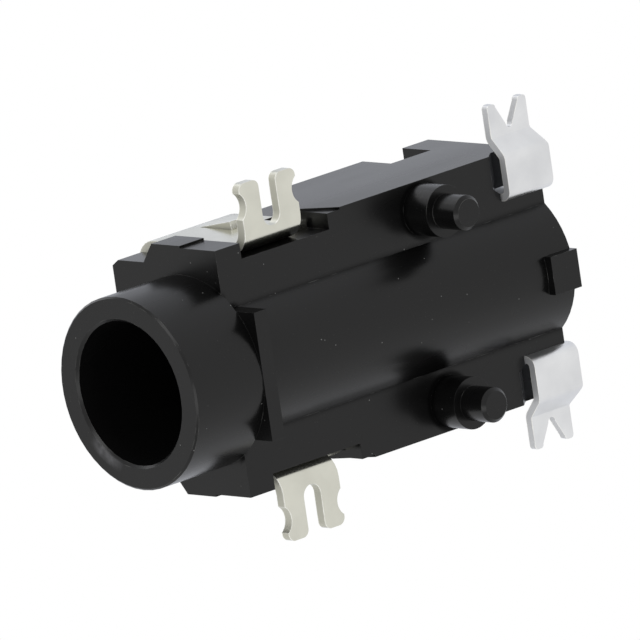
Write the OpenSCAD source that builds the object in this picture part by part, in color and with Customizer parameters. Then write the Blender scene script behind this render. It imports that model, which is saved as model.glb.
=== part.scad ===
// Audio jack socket for a 3.5 mm plug, for a cut-out at the edge of a board.
// One moulded housing, two front contacts with forked feet and two rear contacts with splayed feet.
// Sizes are in millimetres. The origin lies on the board's surface, midway between the two board pegs.
// +Z points up from the board, and the plug's mouth faces -Y.

/* [Nose and bore] */
// Diameter of the plug bore
bore_d = 3.6; // [3.5:0.02:3.8]
// Outer diameter of the nose
nose_d = 5; // [4.6:0.1:5.4]
// Length of the nose in front of the body
nose_len = 2.3; // [1.5:0.05:3]
// Chamfer at the mouth of the bore
mouth_chamfer = 0.07; // [0.04:0.01:0.12]
// Widening of the bore's radius behind that chamfer
mouth_widening = 0.07; // [0.02:0.01:0.1]
// Length over which the bore narrows again
taper_len = 0.5; // [0.3:0.05:0.8]
// Chamfer on the outer edge of the nose
nose_chamfer = 0.05; // [0.02:0.02:0.16]

/* [Body] */
// Length from the mouth to the rear end
body_len = 13.58; // [13.2:0.02:15]
// Width across the side faces
body_w = 6.5; // [6.2:0.05:7]
// Width of the top face
top_w = 5.5; // [5:0.05:5.8]
// Height of the plug axis above the board
axis_h = 1.4; // [1.2:0.05:1.6]
// Height of the top face above the plug axis
top_h = 2.52; // [2.4:0.02:3]
// Height of the upper edge of the side faces above the plug axis
side_h = 2; // [1.7:0.05:2.3]
// Diameter of the round underside
barrel_d = 4.3; // [4.2:0.02:4.5]

/* [Front wall] */
// Thickness of the wall in front of the contact pockets
front_wall = 0.85; // [0.6:0.05:1.2]
// Height of the shoulders above the plug axis
shoulder_h = 0.95; // [0.6:0.05:1.2]
// Rise of the slope above each shoulder
shoulder_rise = 0.38; // [0.2:0.02:0.6]
// Width of the chamfer along the wall's top corners
wall_chamfer = 0.15; // [0.05:0.05:0.3]
// Height of the chamfer along the wall's top corners
wall_chamfer_h = 0.23; // [0.1:0.01:0.4]
// Inset of the wall's side faces below the step
step_inset = 0.06; // [0.02:0.02:0.15]
// Depth of that step below the plug axis
step_drop = 0.1; // [0:0.05:0.4]
// Width of the rib below the root of the nose
rib_w = 3.32; // [2.8:0.02:3.8]
// Thickness of the rib along the plug axis
rib_t = 0.43; // [0.3:0.01:0.6]
// Distance from the plug axis down to the rib's lower face
rib_drop = 2.52; // [2.3:0.02:2.7]

/* [Contact pockets] */
// Length of the front contacts' pockets
pocket_len = 3.05; // [2.9:0.05:3.4]
// Depth of the pockets in the side faces
pocket_depth = 0.47; // [0.35:0.01:0.55]
// Length of the lead-in corner behind each pocket
lead_len = 0.45; // [0.3:0.05:1]
// Height of the lead-in corner
lead_h = 1.1; // [0.5:0.1:1.5]
// Depth of the lead-in corner
lead_depth = 0.06; // [0.03:0.01:0.15]
// Length of the cut behind each pocket, at the top face
relief_len = 2; // [1.6:0.05:2.2]
// Length of that cut at its floor
relief_foot = 0.2; // [0.1:0.05:0.3]
// Height of its floor above the plug axis
relief_h = 0.6; // [0.6:0.05:0.8]
// Clearance around the contacts' spring arms
arm_clear = 0.15; // [0.1:0.01:0.2]

/* [Rear end] */
// Length of the narrow core behind the wide body
core_len = 0.56; // [0.4:0.02:0.8]
// Length of the foot recesses, from the rear end
recess_len = 1.68; // [1.58:0.02:1.9]
// Depth of the foot recesses in the flanges
recess_depth = 0.3; // [0.25:0.01:0.4]
// Length of the slope at the front of the recesses
recess_slope = 0.35; // [0.2:0.05:0.5]
// Width of the cut across the inner front corner of the recesses
corner_w = 0.25; // [0.15:0.01:0.3]
// Length of that cut
corner_len = 0.33; // [0.2:0.01:0.4]
// Depth of the upright plates' seats in the core
seat_depth = 0.13; // [0.05:0.01:0.16]
// Width of the tab below the rear end
tab_w = 1; // [0.6:0.05:1.4]
// Length of the tab
tab_len = 0.93; // [0.5:0.01:1.2]
// Height of the tab below the round underside
tab_drop = 0.2; // [0.1:0.01:0.3]

/* [Side notches] */
// Distance from the rear end to the front of the notches in the side walls
gap_back = 2.88; // [2.6:0.02:3.2]
// Length of the notches
gap_len = 1.4; // [1:0.05:1.8]
// Height of the notches' floor above the plug axis
gap_h = 0.95; // [0.9:0.05:1.4]
// Width of the body between the notches
gap_w = 4.8; // [4.5:0.05:5.2]

/* [Board pegs] */
// Distance between the two pegs
peg_span = 5; // [4.8:0.02:5.1]
// Distance from the mouth to the pegs
peg_from_mouth = 9.42; // [9:0.01:10]
// Diameter of the boss that fits the board
boss_d = 1.34; // [1.1:0.02:1.4]
// Length of the boss below the flange
boss_len = 0.85; // [0.6:0.05:1.2]
// Diameter of the peg below the boss
peg_d = 0.9; // [0.6:0.02:1]
// Length of the peg below the boss
peg_len = 0.85; // [0.5:0.05:1.2]
// Chamfer on the tip of the peg
peg_chamfer = 0.09; // [0.03:0.01:0.15]

/* [Front contacts] */
// Thickness of the front contacts' sheet
front_sheet = 0.25; // [0.2:0.01:0.3]
// Distance from the plug axis to the tips of the forks
fork_reach = 4.63; // [4.4:0.01:4.9]
// Width of the forks
fork_w = 1.94; // [1.7:0.02:2.1]
// Distance from the front of the pocket to the middle of the fork
fork_mid = 1.2; // [1.1:0.01:1.3]
// Width of the slot between the prongs
slot_w = 0.58; // [0.4:0.02:0.7]
// Depth of that slot
slot_depth = 1.27; // [0.9:0.01:1.35]
// Radius of the notches in the outer edges
notch_r = 0.42; // [0.3:0.01:0.5]
// Depth of those notches
notch_depth = 0.17; // [0.05:0.01:0.25]
// Distance from the tips to the middle of the notches
notch_back = 0.58; // [0.45:0.01:0.7]
// Rounding of the tips
fork_round = 0.2; // [0.1:0.01:0.25]
// Radius of the bends, at the middle of the sheet
front_bend_r = 0.5; // [0.4:0.01:0.55]
// Gap between the side plate and each end of its pocket
plate_gap = 0.1; // [0.05:0.01:0.15]
// Height of the plate's lower rear edge above the board
plate_lift = 0.7; // [0.5:0.05:0.9]
// Distance from the plug axis to the inner edge of the top flap
flap_in = 1.25; // [0.8:0.05:1.6]
// Depth of the flap's seat below the top face
flap_seat = 0.2; // [0.15:0.01:0.25]

/* [Locking tongues] */
// Length of the tongues in the side plates
tongue_len = 1.1; // [0.8:0.05:1.1]
// Width of the tongues
tongue_w = 0.45; // [0.3:0.01:0.5]
// Distance from the plug axis up to the root of the tongues
tongue_z = 1.72; // [1.7:0.01:1.8]
// Distance from the front of the pocket to the middle of the tongues
tongue_mid = 1.85; // [1.7:0.05:2]
// Gap between the tongues and the edges of their windows
tongue_gap = 0.08; // [0.05:0.01:0.1]
// Angle by which the tongues stand out
tongue_angle = 10; // [6:1:13]

/* [Rear contacts] */
// Thickness of the rear contacts' sheet
rear_sheet = 0.2; // [0.15:0.01:0.25]
// Distance from the plug axis to the tips of the feet
rear_reach = 4.5; // [4.35:0.01:4.7]
// Length of the prongs, measured across the body
prong_len = 0.88; // [0.75:0.01:0.95]
// Width of the sloping part between the plate and the prongs
slope_w = 0.45; // [0.3:0.01:0.6]
// Distance of the plate's lower face below the board's surface
plate_drop = 0.3; // [0.2:0.01:0.4]
// Rise of the sloping part
slope_rise = 0.4; // [0.3:0.01:0.5]
// Width of the strip
strip_w = 1.56; // [1.45:0.01:1.6]
// Distance by which the strip's rear edge lies behind the rear end
strip_over = 0.15; // [0:0.01:0.25]
// Width of each prong at its tip
prong_w = 0.29; // [0.25:0.01:0.35]
// Inset of the strip's rear edge at the root of the prongs
strip_waist = 0.2; // [0:0.01:0.3]
// Depth of the notch between the prongs
vee_depth = 0.7; // [0.5:0.01:0.8]
// Radius at the bottom of that notch
vee_r = 0.12; // [0.05:0.01:0.16]
// Rounding of the prongs' tips
prong_round = 0.1; // [0.05:0.01:0.12]
// Radius of the bends, at the middle of the sheet
rear_bend_r = 0.2; // [0.15:0.01:0.25]
// Height of the upright plate's upper edge above the plug axis
upright_h = 0.7; // [0.6:0.05:0.9]

/* [Spring arms] */
// Thickness of the arms
arm_t = 0.16; // [0.12:0.01:0.2]
// Height of the arms
arm_h = 0.7; // [0.5:0.05:0.8]
// Reach of the arms' contact points into the bore
touch_in = 0.2; // [0.1:0.01:0.3]
// Distance from the mouth to the sleeve's contact point
sleeve_touch = 5; // [4.85:0.05:5.15]
// Distance from the mouth to the ring's contact point
ring_touch = 8.7; // [8.3:0.05:8.9]
// Distance from the rear contacts' strips forward to the tip's contact points
tip_ahead = 0.82; // [0.65:0.01:1]
// Length of the arms' tails past their contact points
tail_len = 0.5; // [0.3:0.05:0.6]
// Radius of the arms' bends, at the middle of the sheet
arm_bend_r = 0.2; // [0.15:0.01:0.3]

/* [Hidden] */
$fn = 48;
// Overshoot of the cuts past the faces that they open
over = 0.5;
// Facets along each bend of a sheet
bend_steps = 6;

// Half widths
body_x = body_w / 2;
top_x = top_w / 2;
core_x = barrel_d / 2;
bore_r = bore_d / 2;
mouth_r = bore_r + mouth_widening;
upright_in = core_x - seat_depth;

// Stations along the plug axis, from the mouth
pocket_front = nose_len + front_wall;
pocket_rear = pocket_front + pocket_len;
wide_rear = body_len - core_len;
gap_front = body_len - gap_back;
recess_front = body_len - recess_len;
plate_front = pocket_front + plate_gap;
plate_rear = pocket_rear - plate_gap;
fork_y = pocket_front + fork_mid;
tongue_y = pocket_front + tongue_mid;
strip_rear = body_len + strip_over;
strip_front = strip_rear - strip_w;
prong_rear = strip_rear - strip_waist;
tip_touch = strip_front - tip_ahead;

// Front contacts: side plate on the pocket's floor, flap on its seat
plate_in = body_x - pocket_depth;
plate_mid = plate_in + front_sheet / 2;
flap_z = top_h - flap_seat;
front_bend_in = front_bend_r - front_sheet / 2;

// Rear contacts: upright plate in its seat
upright_mid = upright_in + rear_sheet / 2;
rear_plate_z = -axis_h - plate_drop + rear_sheet / 2;
prong_root = rear_reach - prong_len;

// Spring arms: middle of the sheet at the contact points and at the tails
touch_x = bore_r - touch_in + arm_t / 2;
tail_x = bore_r + touch_in;
arm_from_plate = plate_in + arm_t / 2;
arm_from_upright = upright_in + arm_t / 2;
// Straight stretch of an arm before its first bend
arm_root = 0.3;
// Length of the open slit in a plate's rear edge, from where its arm goes on
slit_len = 0.35;
slit_front = plate_rear - slit_len;
// Rear end of the sleeve arm's fold, at the middle of the sheet
fold_y = plate_rear - plate_gap / 2;
// Distance between the legs of that fold, a little over twice the bend's radius
fold_w = 2.2 * arm_bend_r;

function unit(v) = v / norm(v);
function left(v) = [-v[1], v[0]];
function spin(v, a) = [v[0] * cos(a) - v[1] * sin(a), v[0] * sin(a) + v[1] * cos(a)];
function turn(u, v) = atan2(u[0] * v[1] - u[1] * v[0], u * v);
function reversed(list) = [for (i = [len(list) - 1:-1:0]) list[i]];

// One side of the bend at point b, on the way from a to c: offset is to the left of the path
function bend(a, b, c, r, offset) =
    let (d = unit(b - a), angle = turn(d, unit(c - b)), s = sign(angle),
         centre = b - d * r * tan(abs(angle) / 2) + left(d) * r * s)
    [for (i = [0:bend_steps]) centre + spin(left(d), angle * i / bend_steps) * (offset - r * s)];

// One side of a folded sheet that follows a path of straight stretches
function sheet_side(path, r, offset) =
    let (n = len(path) - 1)
    [path[0] + left(unit(path[1] - path[0])) * offset,
     for (i = [1:1:n - 1]) each bend(path[i - 1], path[i], path[i + 1], r, offset),
     path[n] + left(unit(path[n] - path[n - 1])) * offset];

// Spring arm in plan: from a plate, bent inwards to its contact point, with a tail bent outwards
function arm_path(x, root, first, touch, tail) =
    [[x, root], [x, first], [touch_x, touch], [tail_x, tail]];
// The sleeve's arm is folded back behind its plate, towards the mouth
function sleeve_path() =
    [[arm_from_plate, slit_front - arm_root], [arm_from_plate, fold_y], [arm_from_plate - fold_w, fold_y],
     [touch_x, sleeve_touch], [tail_x, sleeve_touch - tail_len]];
function ring_path() =
    arm_path(arm_from_plate, slit_front - arm_root, slit_front, ring_touch, ring_touch + tail_len);
function tip_path() =
    arm_path(arm_from_upright, strip_front + arm_root, strip_front - rear_sheet / 2,
             tip_touch, tip_touch - tail_len);

module sheet(path, t, r) {
    polygon(concat(sheet_side(path, r, t / 2), reversed(sheet_side(path, r, -t / 2))));
}

// Placing: outlines seen from the mouth, from the side and from above
module along_y(from, to) {
    translate([0, to, 0]) rotate([90, 0, 0]) linear_extrude(to - from) children();
}
module along_x(from, to) {
    translate([from, 0, 0]) rotate([90, 0, 90]) linear_extrude(to - from) children();
}
module along_z(from, to) {
    translate([0, 0, from]) linear_extrude(to - from) children();
}
module both_sides() {
    children();
    mirror([1, 0, 0]) children();
}
// The pieces are drawn about the plug axis, with the mouth at y = 0, and moved to the board's frame
module on_board() {
    translate([0, -peg_from_mouth, axis_h]) children();
}
module block(from, to) {
    translate(from) cube(to - from);
}

// Housing: solid forms
module nose() {
    rotate([-90, 0, 0]) {
        cylinder(h = nose_chamfer, r1 = nose_d / 2 - nose_chamfer, r2 = nose_d / 2);
        translate([0, 0, nose_chamfer]) cylinder(h = nose_len - nose_chamfer, d = nose_d);
    }
}
module wide_body() {
    half = [[body_x, -axis_h], [body_x, side_h], [top_x, top_h]];
    along_y(nose_len, wide_rear)
        polygon(concat(half, [for (p = reversed(half)) [-p[0], p[1]]]));
}
module core() {
    block([-core_x, wide_rear - over, -axis_h], [core_x, body_len, top_h - flap_seat]);
}
module barrel() {
    along_y(nose_len, body_len) intersection() {
        circle(d = barrel_d);
        translate([-core_x - over, -core_x - over])
            square([barrel_d + 2 * over, core_x + over - axis_h / 2]);
    }
}
module rib() {
    block([-rib_w / 2, nose_len, -rib_drop], [rib_w / 2, nose_len + rib_t, -axis_h / 2]);
}
module rear_tab() {
    block([-tab_w / 2, body_len - tab_len, -core_x - tab_drop],
          [tab_w / 2, body_len, -bore_r - tab_drop / 2]);
}
module board_peg() {
    translate([peg_span / 2, peg_from_mouth, -axis_h]) mirror([0, 0, 1]) {
        translate([0, 0, -recess_depth / 2]) cylinder(h = boss_len + recess_depth / 2, d = boss_d);
        translate([0, 0, boss_len - over]) cylinder(h = peg_len + over - peg_chamfer, d = peg_d);
        translate([0, 0, boss_len + peg_len - peg_chamfer])
            cylinder(h = peg_chamfer, r1 = peg_d / 2, r2 = peg_d / 2 - peg_chamfer);
    }
}

// Housing: cuts
module bore() {
    rotate([-90, 0, 0]) {
        translate([0, 0, -over]) cylinder(h = body_len + 2 * over, d = bore_d);
        translate([0, 0, -over])
            cylinder(h = over + mouth_chamfer, r1 = mouth_r + mouth_chamfer + over, r2 = mouth_r);
        translate([0, 0, mouth_chamfer]) cylinder(h = taper_len, r1 = mouth_r, r2 = bore_r);
    }
}
module shoulder_cut() {
    slope_top = shoulder_h + shoulder_rise;
    along_y(nose_len - over, pocket_front)
        polygon([[body_x, shoulder_h], [top_x, slope_top], [top_x, top_h - wall_chamfer_h],
                 [top_x - wall_chamfer, top_h], [top_x - wall_chamfer, top_h + over],
                 [body_x + over, top_h + over], [body_x + over, shoulder_h]]);
    block([body_x - step_inset, nose_len - over, -axis_h - over],
          [body_x + over, pocket_front, -step_drop]);
}
module contact_pocket() {
    along_y(pocket_front, pocket_rear)
        polygon([[plate_in, -axis_h - over], [plate_in, flap_z - front_bend_in],
                 [plate_in - front_bend_in, flap_z], [flap_in - plate_gap, flap_z],
                 [flap_in - plate_gap, top_h + over],
                 [body_x + over, top_h + over], [body_x + over, -axis_h - over]]);
    along_x(body_x - lead_depth, body_x + over)
        polygon([[pocket_rear - over, -axis_h - over], [pocket_rear + lead_len, -axis_h - over],
                 [pocket_rear + lead_len, -axis_h], [pocket_rear, lead_h - axis_h],
                 [pocket_rear - over, lead_h - axis_h]]);
    along_x(plate_in, body_x + over)
        polygon([[pocket_rear - over, relief_h], [pocket_rear + relief_foot, relief_h],
                 [pocket_rear + relief_len, top_h], [pocket_rear - over, top_h]]);
}
module arm_channel(path) {
    along_z(-arm_h / 2 - arm_clear, arm_h / 2 + arm_clear)
        sheet(path, arm_t + 2 * arm_clear, arm_bend_r + arm_clear);
}
module sleeve_window() {
    block([0, sleeve_touch - tail_len - 2 * arm_clear, -arm_h / 2 - arm_clear],
          [plate_in, pocket_rear, arm_h / 2 + arm_clear]);
}
// Notch in a side wall, which has a level top from there to the rear end
module side_notch() {
    block([gap_w / 2, gap_front, gap_h], [body_x + over, gap_front + gap_len, top_h + over]);
    block([gap_w / 2, gap_front, side_h], [body_x + over, body_len, top_h + over]);
}
module foot_recess() {
    intersection() {
        along_x(core_x, body_x + over)
            polygon([[recess_front, -axis_h - over], [recess_front, -axis_h],
                     [recess_front + recess_slope, recess_depth - axis_h],
                     [body_len, recess_depth - axis_h], [body_len, -axis_h - over]]);
        along_z(-axis_h - over, 0)
            polygon([[body_x + over, recess_front], [core_x + corner_w, recess_front],
                     [core_x, recess_front + corner_len], [core_x, body_len],
                     [body_x + over, body_len]]);
    }
}
module upright_seat() {
    block([upright_in, strip_front - plate_gap / 2, -axis_h - over],
          [upright_in + rear_sheet + plate_gap, body_len + over, upright_h + plate_gap]);
}

module housing() {
    color("#26272a") on_board() difference() {
        union() {
            nose();
            difference() {
                wide_body();
                both_sides() {
                    shoulder_cut();
                    contact_pocket();
                    side_notch();
                    foot_recess();
                }
            }
            core();
            barrel();
            rib();
            rear_tab();
            both_sides() board_peg();
        }
        bore();
        both_sides() upright_seat();
        both_sides() arm_channel(tip_path());
        sleeve_window();
        mirror([1, 0, 0]) arm_channel(ring_path());
    }
}

// Rounded end of a prong that points along +X and ends at x = 0
module prong_end(w, r) {
    translate([-2 * r, r - w / 2]) square([2 * r, w - 2 * r]);
    for (edge = [-1, 1]) translate([-r, edge * (w / 2 - r)]) circle(r = r);
}

// Front contacts
module fork_plan() {
    prong = (fork_w - slot_w) / 2;
    translate([0, fork_y]) difference() {
        union() {
            translate([plate_in - over, -fork_w / 2])
                square([fork_reach - fork_round - plate_in + over, fork_w]);
            for (side = [-1, 1])
                translate([fork_reach, side * (slot_w + prong) / 2]) prong_end(prong, fork_round);
        }
        translate([fork_reach - slot_depth + slot_w / 2, 0]) {
            circle(d = slot_w);
            translate([0, -slot_w / 2]) square([slot_depth, slot_w]);
        }
        for (side = [-1, 1])
            translate([fork_reach - notch_back, side * (fork_w / 2 - notch_depth + notch_r)])
                circle(r = notch_r);
    }
}
module fork_foot() {
    foot_z = front_sheet / 2 - axis_h;
    intersection() {
        along_y(fork_y - fork_w / 2, fork_y + fork_w / 2)
            sheet([[fork_reach, foot_z], [plate_mid, foot_z], [plate_mid, plate_lift + over - axis_h]],
                  front_sheet, front_bend_r);
        along_z(-axis_h - over, top_h) fork_plan();
    }
}
module side_plate() {
    along_y(plate_front, plate_rear)
        sheet([[plate_mid, plate_lift - axis_h], [plate_mid, flap_z + front_sheet / 2],
               [flap_in, flap_z + front_sheet / 2]], front_sheet, front_bend_r);
}
module tongue_window() {
    half = tongue_w / 2 + tongue_gap;
    block([plate_in - over, tongue_y - half, tongue_z - tongue_len - tongue_gap],
          [body_x + over, tongue_y + half, tongue_z]);
}
module tongue() {
    translate([plate_in, tongue_y - tongue_w / 2, tongue_z]) rotate([0, -tongue_angle, 0])
        translate([0, 0, -tongue_len]) cube([front_sheet, tongue_w, tongue_len]);
}
module arm_slit() {
    block([plate_in - over, slit_front, -arm_h / 2 - arm_clear],
          [plate_in + front_sheet + over, plate_rear + over, arm_h / 2 + arm_clear]);
}
module spring_arm(path) {
    along_z(-arm_h / 2, arm_h / 2) sheet(path, arm_t, arm_bend_r);
}
module front_contact(path) {
    difference() {
        union() {
            fork_foot();
            side_plate();
        }
        tongue_window();
        arm_slit();
    }
    tongue();
    spring_arm(path);
}
module sleeve_contact() {
    color("#cfd0c6") on_board() front_contact(sleeve_path());
}
module ring_contact() {
    color("#cfd0c6") on_board() mirror([1, 0, 0]) front_contact(ring_path());
}

// Rear contacts
module splayed_plan() {
    middle = (strip_front + prong_rear) / 2;
    tip = rear_reach - prong_round;
    vee = rear_reach - vee_depth + vee_r;
    front_inner = strip_front + prong_w;
    rear_inner = prong_rear - prong_w;
    difference() {
        polygon([[upright_in, strip_front], [tip, strip_front], [tip, prong_rear],
                 [prong_root, prong_rear], [prong_root - slope_w, strip_rear], [upright_in, strip_rear]]);
        translate([vee, middle]) circle(r = vee_r);
        polygon([[vee, middle - vee_r], [vee, middle + vee_r], [tip, rear_inner],
                 [tip + over, rear_inner], [tip + over, front_inner], [tip, front_inner]]);
    }
    for (y = [front_inner - prong_w / 2, rear_inner + prong_w / 2])
        translate([rear_reach, y]) prong_end(prong_w, prong_round);
}
module rear_contact() {
    prong_z = rear_plate_z + slope_rise;
    intersection() {
        along_y(strip_front - over, strip_rear + over)
            sheet([[rear_reach + over, prong_z], [prong_root, prong_z],
                   [prong_root - slope_w, rear_plate_z], [upright_mid, rear_plate_z],
                   [upright_mid, upright_h]], rear_sheet, rear_bend_r);
        along_z(rear_plate_z - over, upright_h + over) splayed_plan();
    }
    spring_arm(tip_path());
}
module tip_contact() {
    color("#dcdee0") on_board() rear_contact();
}
module tip_detect_contact() {
    color("#dcdee0") on_board() mirror([1, 0, 0]) rear_contact();
}

housing();
sleeve_contact();
ring_contact();
tip_contact();
tip_detect_contact();
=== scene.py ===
# Looks of the audio jack socket: materials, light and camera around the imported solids
from math import pi

import bpy
from mathutils import Matrix, Vector


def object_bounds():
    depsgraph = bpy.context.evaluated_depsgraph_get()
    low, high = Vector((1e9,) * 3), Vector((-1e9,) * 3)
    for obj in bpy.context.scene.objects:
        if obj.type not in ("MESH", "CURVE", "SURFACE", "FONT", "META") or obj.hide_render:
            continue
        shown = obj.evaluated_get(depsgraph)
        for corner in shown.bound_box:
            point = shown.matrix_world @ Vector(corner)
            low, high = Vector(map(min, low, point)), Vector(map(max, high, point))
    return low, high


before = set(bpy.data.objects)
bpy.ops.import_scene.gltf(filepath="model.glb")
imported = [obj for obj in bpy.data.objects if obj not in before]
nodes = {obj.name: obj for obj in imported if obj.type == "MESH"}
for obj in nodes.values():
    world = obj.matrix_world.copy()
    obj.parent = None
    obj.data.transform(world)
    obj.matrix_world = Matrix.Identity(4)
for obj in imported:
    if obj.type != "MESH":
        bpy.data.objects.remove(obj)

MM = 0.001
scene = bpy.context.scene
cad_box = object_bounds()

# Edge rounding of the moulding and of the stamped sheet, and the least angle, in radians, that is rounded
MOULD_EDGE = 0.035 * MM
SHEET_EDGE = 0.04 * MM
SHARP_ANGLE = 0.6
# Points closer than this are one point
SAME_POINT = 0.0005 * MM
# A sum of face normals shorter than this means that only rounded strips meet at the point
NO_FACE = 0.01

# Height of the plug bore's axis over the board
AXIS_HEIGHT = 1.4 * MM
# Distances from that axis over which the outside begins, and over which the painted highlight on the mouth's
# rim fades
OUTSIDE_START = (1.9 * MM, 1.94 * MM)
RIM_FADE = (2.08 * MM, 2.24 * MM)
# Middle of the painted highlight on the mouth's rim, and the distances from it over which it fades
HIGHLIGHT_PLACE = (-1.66 * MM, -9.42 * MM, 2.6 * MM)
HIGHLIGHT_FADE = (0.2 * MM, 0.65 * MM)
# Reach of the painted shade in the inner corners beside the board's plane, and the heights over which it
# fades
CORNER_REACH = 0.17 * MM
CORNER_FADE = (0.1 * MM, 0.25 * MM)
# How open an inner corner and a free face are, and the specular level of each
CORNER_OPEN = (0.82, 0.94)
CORNER_SHINE = (0.1, 0.5)
# Width of the sheet's rims that get a painted highlight
SHEET_RIM = 0.07 * MM
# Likeness of the rounded and the real normal, from a full painted rim highlight to none
RIM_TURN = (0.8, 0.97)
# The rounded normal's Y part, from no painted rim highlight to a full one
RIM_FACING = (-0.15, -0.5)
# Size of the normal's Y part from the sheet's plain faces to its cut faces
CUT_FACING = (0.4, 0.8)
# Height of the fine grain on the moulding and on the plating
GRAIN_HEIGHT = 0.006 * MM
# Share of a speck's radius that is solid
SPECK_CORE = 0.6
# Ranges of noise that are stretched into patches: clouds, the painted highlight on the mouth's rim, scuffed
# places, and the painted highlight on the sheet's rims
MAIN_NOISE = (0.3, 0.7)
HIGHLIGHT_NOISE = (0.35, 0.65)
SCUFF_NOISE = (0.52, 0.68)
RIM_NOISE = (0.35, 0.6)

# Moulding: two tones of black, the painted highlight on the mouth's rim, scuffed places, fine specks and
# dust, its roughness and its index
BLACK = (0.0022, 0.0022, 0.0023)
PALER_BLACK = (0.0045, 0.0045, 0.0045)
RIM_HIGHLIGHT = (0.1, 0.1, 0.106)
SCUFFED = (0.11, 0.11, 0.105)
SPECK = (0.045, 0.045, 0.043)
DUST = (0.24, 0.24, 0.235)
MOULD_ROUGHNESS = (0.22, 0.3)
MOULD_INDEX = 1.34

# Plating: the darker and lighter tone at the front and at the rear, pale edges that are partly wear and
# partly a painted highlight, and roughness
FRONT_TONES = ((0.575, 0.57, 0.503), (0.65, 0.645, 0.57))
REAR_TONES = ((0.66, 0.665, 0.675), (0.76, 0.765, 0.77))
BRIGHT_EDGE = (0.93, 0.925, 0.88)
FRONT_ROUGHNESS = 0.22
REAR_ROUGHNESS = 0.36
CUT_ROUGHNESS = 0.7
UNEVEN_ROUGHNESS = 0.05


# Nodes


def add(tree, kind, **settings):
    """A node with its settings: a name in the node's sockets sets that socket, any other the node itself."""
    node = tree.nodes.new(kind)
    for key, value in settings.items():
        if key in node.inputs:
            node.inputs[key].default_value = value
        else:
            setattr(node, key, value)
    return node


def joined(tree, kind, *sources, **settings):
    """A node whose first sockets are linked to the sources in turn."""
    node = add(tree, kind, **settings)
    for socket, source in zip(node.inputs, sources):
        tree.links.new(source, socket)
    return node


# Edge rounding: the solids' own normals are kept on their faces, and the rounded strips blend between them


def mesh_group(name):
    """An empty node group from mesh to mesh, with its ends."""
    tree = bpy.data.node_groups.new(name, "GeometryNodeTree")
    for direction in ("INPUT", "OUTPUT"):
        tree.interface.new_socket("Mesh", in_out=direction, socket_type="NodeSocketGeometry")
    return tree, tree.nodes.new("NodeGroupInput").outputs[0], tree.nodes.new("NodeGroupOutput").inputs[0]


def keep_normals():
    """Stores each corner's normal, then closes the mesh along its edges."""
    tree, mesh, result = mesh_group("keep_normals")
    normal = add(tree, "GeometryNodeInputNormal").outputs["Normal"]
    store = joined(tree, "GeometryNodeStoreNamedAttribute", mesh,
                   data_type="FLOAT_VECTOR", domain="CORNER", Name="cad_normal")
    tree.links.new(normal, store.inputs["Value"])
    plain = joined(tree, "GeometryNodeSetMeshNormal", store.outputs[0], mode="SHARPNESS")
    plain.inputs["Remove Custom"].default_value = True
    weld = joined(tree, "GeometryNodeMergeByDistance", plain.outputs[0], Distance=SAME_POINT)
    tree.links.new(weld.outputs[0], result)
    return tree


def set_normals():
    """Gives the faces their stored normals.

    The strips, in the second material slot, take these over at their borders. The attribute edge_strip is 1 on
    the strips, for the materials.
    """
    tree, mesh, result = mesh_group("set_normals")
    stored = add(tree, "GeometryNodeInputNamedAttribute", data_type="FLOAT_VECTOR", Name="cad_normal")
    stored = stored.outputs["Attribute"]
    strip = add(tree, "GeometryNodeInputMaterialIndex").outputs[0]
    on_face = add(tree, "ShaderNodeMath", operation="SUBTRACT")
    on_face.inputs[0].default_value = 1
    tree.links.new(strip, on_face.inputs[1])
    share = joined(tree, "ShaderNodeVectorMath", stored, operation="SCALE")
    tree.links.new(on_face.outputs[0], share.inputs["Scale"])
    vertex = add(tree, "GeometryNodeVertexOfCorner").outputs[0]
    around = joined(tree, "GeometryNodeAccumulateField", share.outputs[0], vertex,
                    data_type="FLOAT_VECTOR", domain="CORNER").outputs["Total"]
    size = joined(tree, "ShaderNodeVectorMath", around, operation="LENGTH").outputs["Value"]
    at_border = joined(tree, "FunctionNodeCompare", size, data_type="FLOAT", operation="GREATER_THAN")
    at_border.inputs[1].default_value = NO_FACE
    smooth = joined(tree, "GeometryNodeFieldOnDomain", add(tree, "GeometryNodeInputNormal").outputs["Normal"],
                    data_type="FLOAT_VECTOR", domain="POINT").outputs[0]
    on_strip = joined(tree, "GeometryNodeSwitch", at_border.outputs[0], smooth, around, input_type="VECTOR")
    chosen = joined(tree, "GeometryNodeSwitch", strip, stored, on_strip.outputs[0], input_type="VECTOR")
    unit = joined(tree, "ShaderNodeVectorMath", chosen.outputs[0], operation="NORMALIZE").outputs[0]
    shaded = joined(tree, "GeometryNodeSetMeshNormal", mesh, unit, mode="FREE", domain="CORNER")
    mark = joined(tree, "GeometryNodeStoreNamedAttribute", shaded.outputs[0],
                  data_type="FLOAT", domain="FACE", Name="edge_strip")
    tree.links.new(strip, mark.inputs["Value"])
    one_slot = joined(tree, "GeometryNodeSetMaterialIndex", mark.outputs[0])
    bare = joined(tree, "GeometryNodeRemoveAttribute", one_slot.outputs[0], Name="cad_normal")
    tree.links.new(bare.outputs[0], result)
    return tree


KEEP_NORMALS = keep_normals()
SET_NORMALS = set_normals()


def soften_edges(obj, width):
    """Rounds the sharp edges of a solid. The strips along the edges go to the second material slot."""
    obj.modifiers.new("keep_normals", "NODES").node_group = KEEP_NORMALS
    bevel = obj.modifiers.new("edges", "BEVEL")
    bevel.width = width
    bevel.segments = 2
    bevel.limit_method = "ANGLE"
    bevel.angle_limit = SHARP_ANGLE
    bevel.material = 1
    obj.modifiers.new("set_normals", "NODES").node_group = SET_NORMALS


# Materials


def new_material(name):
    """A node material with its shader and its texture coordinates."""
    mat = bpy.data.materials.new(name)
    mat.use_nodes = True
    tree = mat.node_tree
    return mat, tree, tree.nodes["Principled BSDF"], tree.nodes.new("ShaderNodeTexCoord").outputs["Object"]


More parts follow.
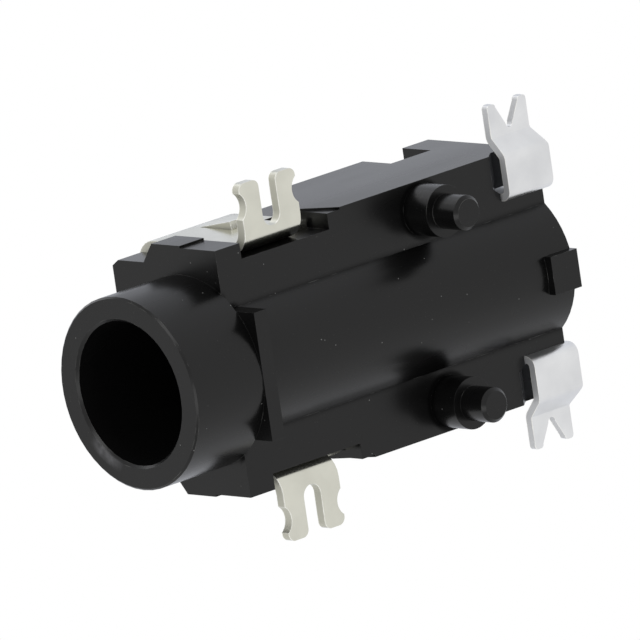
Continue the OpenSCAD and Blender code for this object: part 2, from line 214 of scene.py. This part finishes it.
def noise(tree, coords, scale, detail, stretch=(1, 1, 1)):
    """Noise in the object's own coordinates: scale is in waves per metre."""
    place = joined(tree, "ShaderNodeMapping", coords, Scale=stretch)
    return joined(tree, "ShaderNodeTexNoise", place.outputs[0], Scale=scale, Detail=detail).outputs["Fac"]


def spread(tree, value, old, new):
    """Maps a value from its old range to a new one, clamped."""
    node = joined(tree, "ShaderNodeMapRange", value)
    for key, number in zip(("From Min", "From Max", "To Min", "To Max"), (*old, *new)):
        node.inputs[key].default_value = number
    return node.outputs["Result"]


def combined(tree, operation, first, second):
    """A sum, product or other result of two values: the second is a number or a socket."""
    node = joined(tree, "ShaderNodeMath", first, operation=operation)
    if isinstance(second, (int, float)):
        node.inputs[1].default_value = second
    else:
        tree.links.new(second, node.inputs[1])
    return node.outputs[0]


def product(tree, value, *factors):
    """The product of a value and one or more others."""
    for factor in factors:
        value = combined(tree, "MULTIPLY", value, factor)
    return value


def absolute(tree, value):
    """A value without its sign."""
    return joined(tree, "ShaderNodeMath", value, operation="ABSOLUTE").outputs[0]


def part(tree, vector, axis):
    """One of a vector's three parts."""
    return joined(tree, "ShaderNodeSeparateXYZ", vector).outputs[axis]


def mixed(tree, factor, first, second):
    """Mixes two colours by a factor: each is a colour or a socket."""
    node = joined(tree, "ShaderNodeMix", factor, data_type="RGBA")
    for key, colour in (("A", first), ("B", second)):
        socket = next(s for s in node.inputs if s.name == key and s.type == "RGBA")
        if isinstance(colour, tuple):
            socket.default_value = (*colour, 1)
        else:
            tree.links.new(colour, socket)
    return next(s for s in node.outputs if s.type == "RGBA")


def grained(tree, bsdf, grain, strength):
    """A fine grain on the shader's normal."""
    node = add(tree, "ShaderNodeBump", Strength=strength, Distance=GRAIN_HEIGHT)
    tree.links.new(grain, node.inputs["Height"])
    tree.links.new(node.outputs["Normal"], bsdf.inputs["Normal"])


def specks(tree, coords, per_metre, size, share):
    """Sparse soft specks: 1 inside a speck. size is in cells, share the part of the cells that has one."""
    cells = joined(tree, "ShaderNodeTexVoronoi", coords, Scale=per_metre)
    inside = spread(tree, cells.outputs["Distance"], (size * SPECK_CORE, size), (1, 0))
    chance = joined(tree, "ShaderNodeSeparateColor", cells.outputs["Color"]).outputs["Red"]
    return product(tree, inside, combined(tree, "LESS_THAN", chance, share))


def spot(tree, coords, place, fade):
    """A soft round spot at a place: 1 at its middle, 0 past the distances over which it fades."""
    node = joined(tree, "ShaderNodeVectorMath", coords, operation="DISTANCE")
    node.inputs[1].default_value = place
    return spread(tree, node.outputs["Value"], fade, (1, 0))


def edge_strip(tree):
    """1 on the rounded strips along the edges."""
    return add(tree, "ShaderNodeAttribute", attribute_name="edge_strip").outputs["Fac"]


def satin_plastic():
    """Black moulding: flow marks along the plug axis, scuffed edges, specks and dust, a painted highlight on
    the mouth's rim and painted shade in the inner corners beside the board's plane.
    """
    mat, tree, bsdf, coords = new_material("satin_black_plastic")
    flow = noise(tree, coords, scale=420, detail=3, stretch=(1, 0.3, 1))
    highlight_marks = spread(tree, noise(tree, coords, scale=3500, detail=3), HIGHLIGHT_NOISE, (0.3, 1))
    scuff_marks = spread(tree, noise(tree, coords, scale=2600, detail=4), SCUFF_NOISE, (0, 1))
    grain = noise(tree, coords, scale=9000, detail=2)
    across = joined(tree, "ShaderNodeMapping", coords, Scale=(1, 0, 1), Location=(0, 0, -AXIS_HEIGHT))
    from_axis = joined(tree, "ShaderNodeVectorMath", across.outputs[0], operation="LENGTH").outputs["Value"]
    outside = spread(tree, from_axis, OUTSIDE_START, (0, 1))
    rim = spread(tree, from_axis, RIM_FADE, (1, 0))
    # Painted highlight: a paler, patchy stretch of the mouth's rim, put into the base colour
    painted_highlight = product(tree, rim, spot(tree, coords, HIGHLIGHT_PLACE, HIGHLIGHT_FADE), highlight_marks, outside)
    scuffed = product(tree, edge_strip(tree), scuff_marks)
    fine = product(tree, specks(tree, coords, per_metre=9000, size=0.09, share=0.35), outside)
    dust = product(tree, specks(tree, coords, per_metre=2600, size=0.045, share=0.9), outside)
    base = mixed(tree, flow, BLACK, PALER_BLACK)
    for share, colour in ((painted_highlight, RIM_HIGHLIGHT), (scuffed, SCUFFED), (fine, SPECK), (dust, DUST)):
        base = mixed(tree, share, base, colour)
    tree.links.new(base, bsdf.inputs["Base Color"])
    tree.links.new(spread(tree, flow, MAIN_NOISE, MOULD_ROUGHNESS), bsdf.inputs["Roughness"])
    # Painted shade: the specular level drops in inner corners near the board's plane, found by ambient
    # occlusion
    open_to = add(tree, "ShaderNodeAmbientOcclusion", samples=8, only_local=True, Distance=CORNER_REACH)
    off_board = absolute(tree, part(tree, coords, "Z"))
    shine = combined(tree, "MAXIMUM", spread(tree, open_to.outputs["AO"], CORNER_OPEN, CORNER_SHINE),
                     spread(tree, off_board, CORNER_FADE, CORNER_SHINE))
    tree.links.new(shine, bsdf.inputs["Specular IOR Level"])
    bsdf.inputs["IOR"].default_value = MOULD_INDEX
    grained(tree, bsdf, grain, strength=0.12)
    return mat


def plated_metal(name, tones, rough, grain_scale):
    """Tin plating: a pale metal with cloudy tone and gloss, duller cut faces, pale edge strips that are
    partly wear and partly a painted highlight, and a painted highlight on the rims that face -Y.
    """
    mat, tree, bsdf, coords = new_material(name)
    dark, light = tones
    cloud = spread(tree, noise(tree, coords, scale=900, detail=4), MAIN_NOISE, (0, 1))
    rim_marks = spread(tree, noise(tree, coords, scale=2500, detail=3), RIM_NOISE, (0.3, 1))
    grain = noise(tree, coords, scale=grain_scale, detail=2)
    normal = add(tree, "ShaderNodeNewGeometry").outputs["Normal"]
    cut = spread(tree, absolute(tree, part(tree, normal, "Y")), CUT_FACING, (0, 1))
    plating = mixed(tree, cut, mixed(tree, cloud, dark, light), dark)
    # Painted highlight: rims whose rounded normal faces -Y get a paler colour, as if lit from that side
    rounded = add(tree, "ShaderNodeBevel", samples=8, Radius=SHEET_RIM).outputs["Normal"]
    alike = joined(tree, "ShaderNodeVectorMath", rounded, normal, operation="DOT_PRODUCT").outputs["Value"]
    forward = spread(tree, part(tree, rounded, "Y"), RIM_FACING, (0, 1))
    rim = product(tree, spread(tree, alike, RIM_TURN, (1, 0)), forward, rim_marks)
    # The edge strips are paler partly from wear and partly as a painted highlight
    wear_and_highlight = combined(tree, "MAXIMUM", edge_strip(tree), rim)
    tree.links.new(mixed(tree, wear_and_highlight, plating, BRIGHT_EDGE), bsdf.inputs["Base Color"])
    gloss = spread(tree, cloud, (0, 1), (rough + UNEVEN_ROUGHNESS, rough - UNEVEN_ROUGHNESS))
    dull = product(tree, cut, CUT_ROUGHNESS)
    tree.links.new(combined(tree, "MAXIMUM", gloss, dull), bsdf.inputs["Roughness"])
    bsdf.inputs["Metallic"].default_value = 1.0
    grained(tree, bsdf, grain, strength=0.15)
    return mat


plastic = satin_plastic()
front_metal = plated_metal("front_tin_plating", FRONT_TONES, FRONT_ROUGHNESS, grain_scale=14000)
rear_metal = plated_metal("rear_tin_plating", REAR_TONES, REAR_ROUGHNESS, grain_scale=9000)

LOOKS = {
    "housing": (plastic, MOULD_EDGE),
    "sleeve_contact": (front_metal, SHEET_EDGE),
    "ring_contact": (front_metal, SHEET_EDGE),
    "tip_contact": (rear_metal, SHEET_EDGE),
    "tip_detect_contact": (rear_metal, SHEET_EDGE),
}
for name, (material, edge) in LOOKS.items():
    obj = nodes[name]
    obj.data.materials.clear()
    for slot in range(2):
        obj.data.materials.append(material)
    soften_edges(obj, edge)


# Light

WHITE = (1, 1, 1)
# Reflections darken and turn bluish in the direction above the rear
ABOVE_REAR = (0, 0.7, 0.7)
NEAR_REAR = (0.1, 1)
REAR_LEVEL = 0.86
REAR_TINT = (0.96, 0.99, 1.07)
# Level of the surroundings for all light that isn't seen or mirrored
SOFT_LEVEL = 0.65
# Lamps: place and size in metres, and radiance, where 1 is as bright as white
LAMPS = {
    "lamp_left": ((0.086, -0.08, -0.024), 0.05, 2.5),
    "lamp_low": ((-0.025, -0.088, -0.078), 0.05, 1.8),
    "lamp_above": ((0.05, 0, 0.1), 0.06, 1.2),
}


def surroundings():
    """A world that is white to the camera, nearly so in reflections, and softer for the rest of the light."""
    world = bpy.data.worlds.new("surround")
    world.use_nodes = True
    tree = world.node_tree
    backdrop = tree.nodes["Background"]
    path = add(tree, "ShaderNodeLightPath").outputs
    seen = path["Is Camera Ray"]
    shown = combined(tree, "MAXIMUM", path["Is Glossy Ray"], path["Is Transmission Ray"])
    direction = add(tree, "ShaderNodeTexCoord").outputs["Generated"]
    toward = joined(tree, "ShaderNodeVectorMath", direction, operation="DOT_PRODUCT")
    toward.inputs[1].default_value = ABOVE_REAR
    toward = toward.outputs["Value"]
    tint = mixed(tree, spread(tree, toward, NEAR_REAR, (0, 1)), WHITE, REAR_TINT)
    tree.links.new(mixed(tree, seen, tint, WHITE), backdrop.inputs["Color"])
    mirrored = product(tree, shown, spread(tree, toward, NEAR_REAR, (1, REAR_LEVEL)))
    level = combined(tree, "ADD", mirrored, spread(tree, shown, (0, 1), (SOFT_LEVEL, 0)))
    tree.links.new(combined(tree, "MAXIMUM", level, seen), backdrop.inputs["Strength"])
    return world


def area_lamp(name, place, size, radiance):
    """A square soft lamp, turned to the object."""
    data = bpy.data.lights.new(name, "AREA")
    data.size = size
    data.energy = radiance * size * size * pi
    lamp = bpy.data.objects.new(name, data)
    lamp.location = place
    lamp.rotation_euler = (middle - Vector(place)).to_track_quat("-Z", "Y").to_euler()
    scene.collection.objects.link(lamp)


middle = (cad_box[0] + cad_box[1]) / 2
scene.world = surroundings()
for name, (place, size, radiance) in LAMPS.items():
    area_lamp(name, place, size, radiance)


# Floor under the lowest point: its upper side is pale and takes the shadow, its underside is clear

FLOOR_REACH = 0.5
FLOOR_GAP = 0.0002 * MM
FLOOR_GREY = (0.86, 0.86, 0.86, 1)
FLOOR_ROUGHNESS = 0.8

floor_z = cad_box[0].z - FLOOR_GAP
corners = [(x * FLOOR_REACH, y * FLOOR_REACH, floor_z) for x, y in ((-1, -1), (1, -1), (1, 1), (-1, 1))]
floor_mesh = bpy.data.meshes.new("floor")
floor_mesh.from_pydata(corners, [], [(0, 1, 2, 3)])
floor = bpy.data.objects.new("floor", floor_mesh)
scene.collection.objects.link(floor)
mat, tree, bsdf, coords = new_material("pale_floor")
bsdf.inputs["Base Color"].default_value = FLOOR_GREY
bsdf.inputs["Roughness"].default_value = FLOOR_ROUGHNESS
side = add(tree, "ShaderNodeNewGeometry").outputs["Backfacing"]
clear = add(tree, "ShaderNodeBsdfTransparent").outputs[0]
either = joined(tree, "ShaderNodeMixShader", side, bsdf.outputs["BSDF"], clear)
tree.links.new(either.outputs["Shader"], tree.nodes["Material Output"].inputs["Surface"])
floor_mesh.materials.append(mat)
floor.visible_shadow = False
floor.visible_diffuse = False
floor.visible_glossy = False


# Camera at the photograph's viewing angle: below the board, in front of the mouth and a little to +X

CAMERA_PLACE = (0.105567, -0.332638, -0.368579)
CAMERA_RIGHT = (-0.141049, 0.718606, -0.680963)
CAMERA_UP = (0.967933, 0.244528, 0.057556)
CAMERA_BACK = (0.207874, -0.651008, -0.730053)
# Focal length and sensor width, in millimetres
LENS = 1131.14
SENSOR = 36

camera_data = bpy.data.cameras.new("camera")
camera_data.sensor_width = SENSOR
camera_data.lens = LENS
camera_data.clip_start = 0.01
camera_data.clip_end = 10
camera = bpy.data.objects.new("camera", camera_data)
turned = Matrix((CAMERA_RIGHT, CAMERA_UP, CAMERA_BACK)).transposed().to_4x4()
camera.matrix_world = Matrix.Translation(CAMERA_PLACE) @ turned
scene.collection.objects.link(camera)
scene.camera = camera

scene.view_settings.view_transform = "Standard"
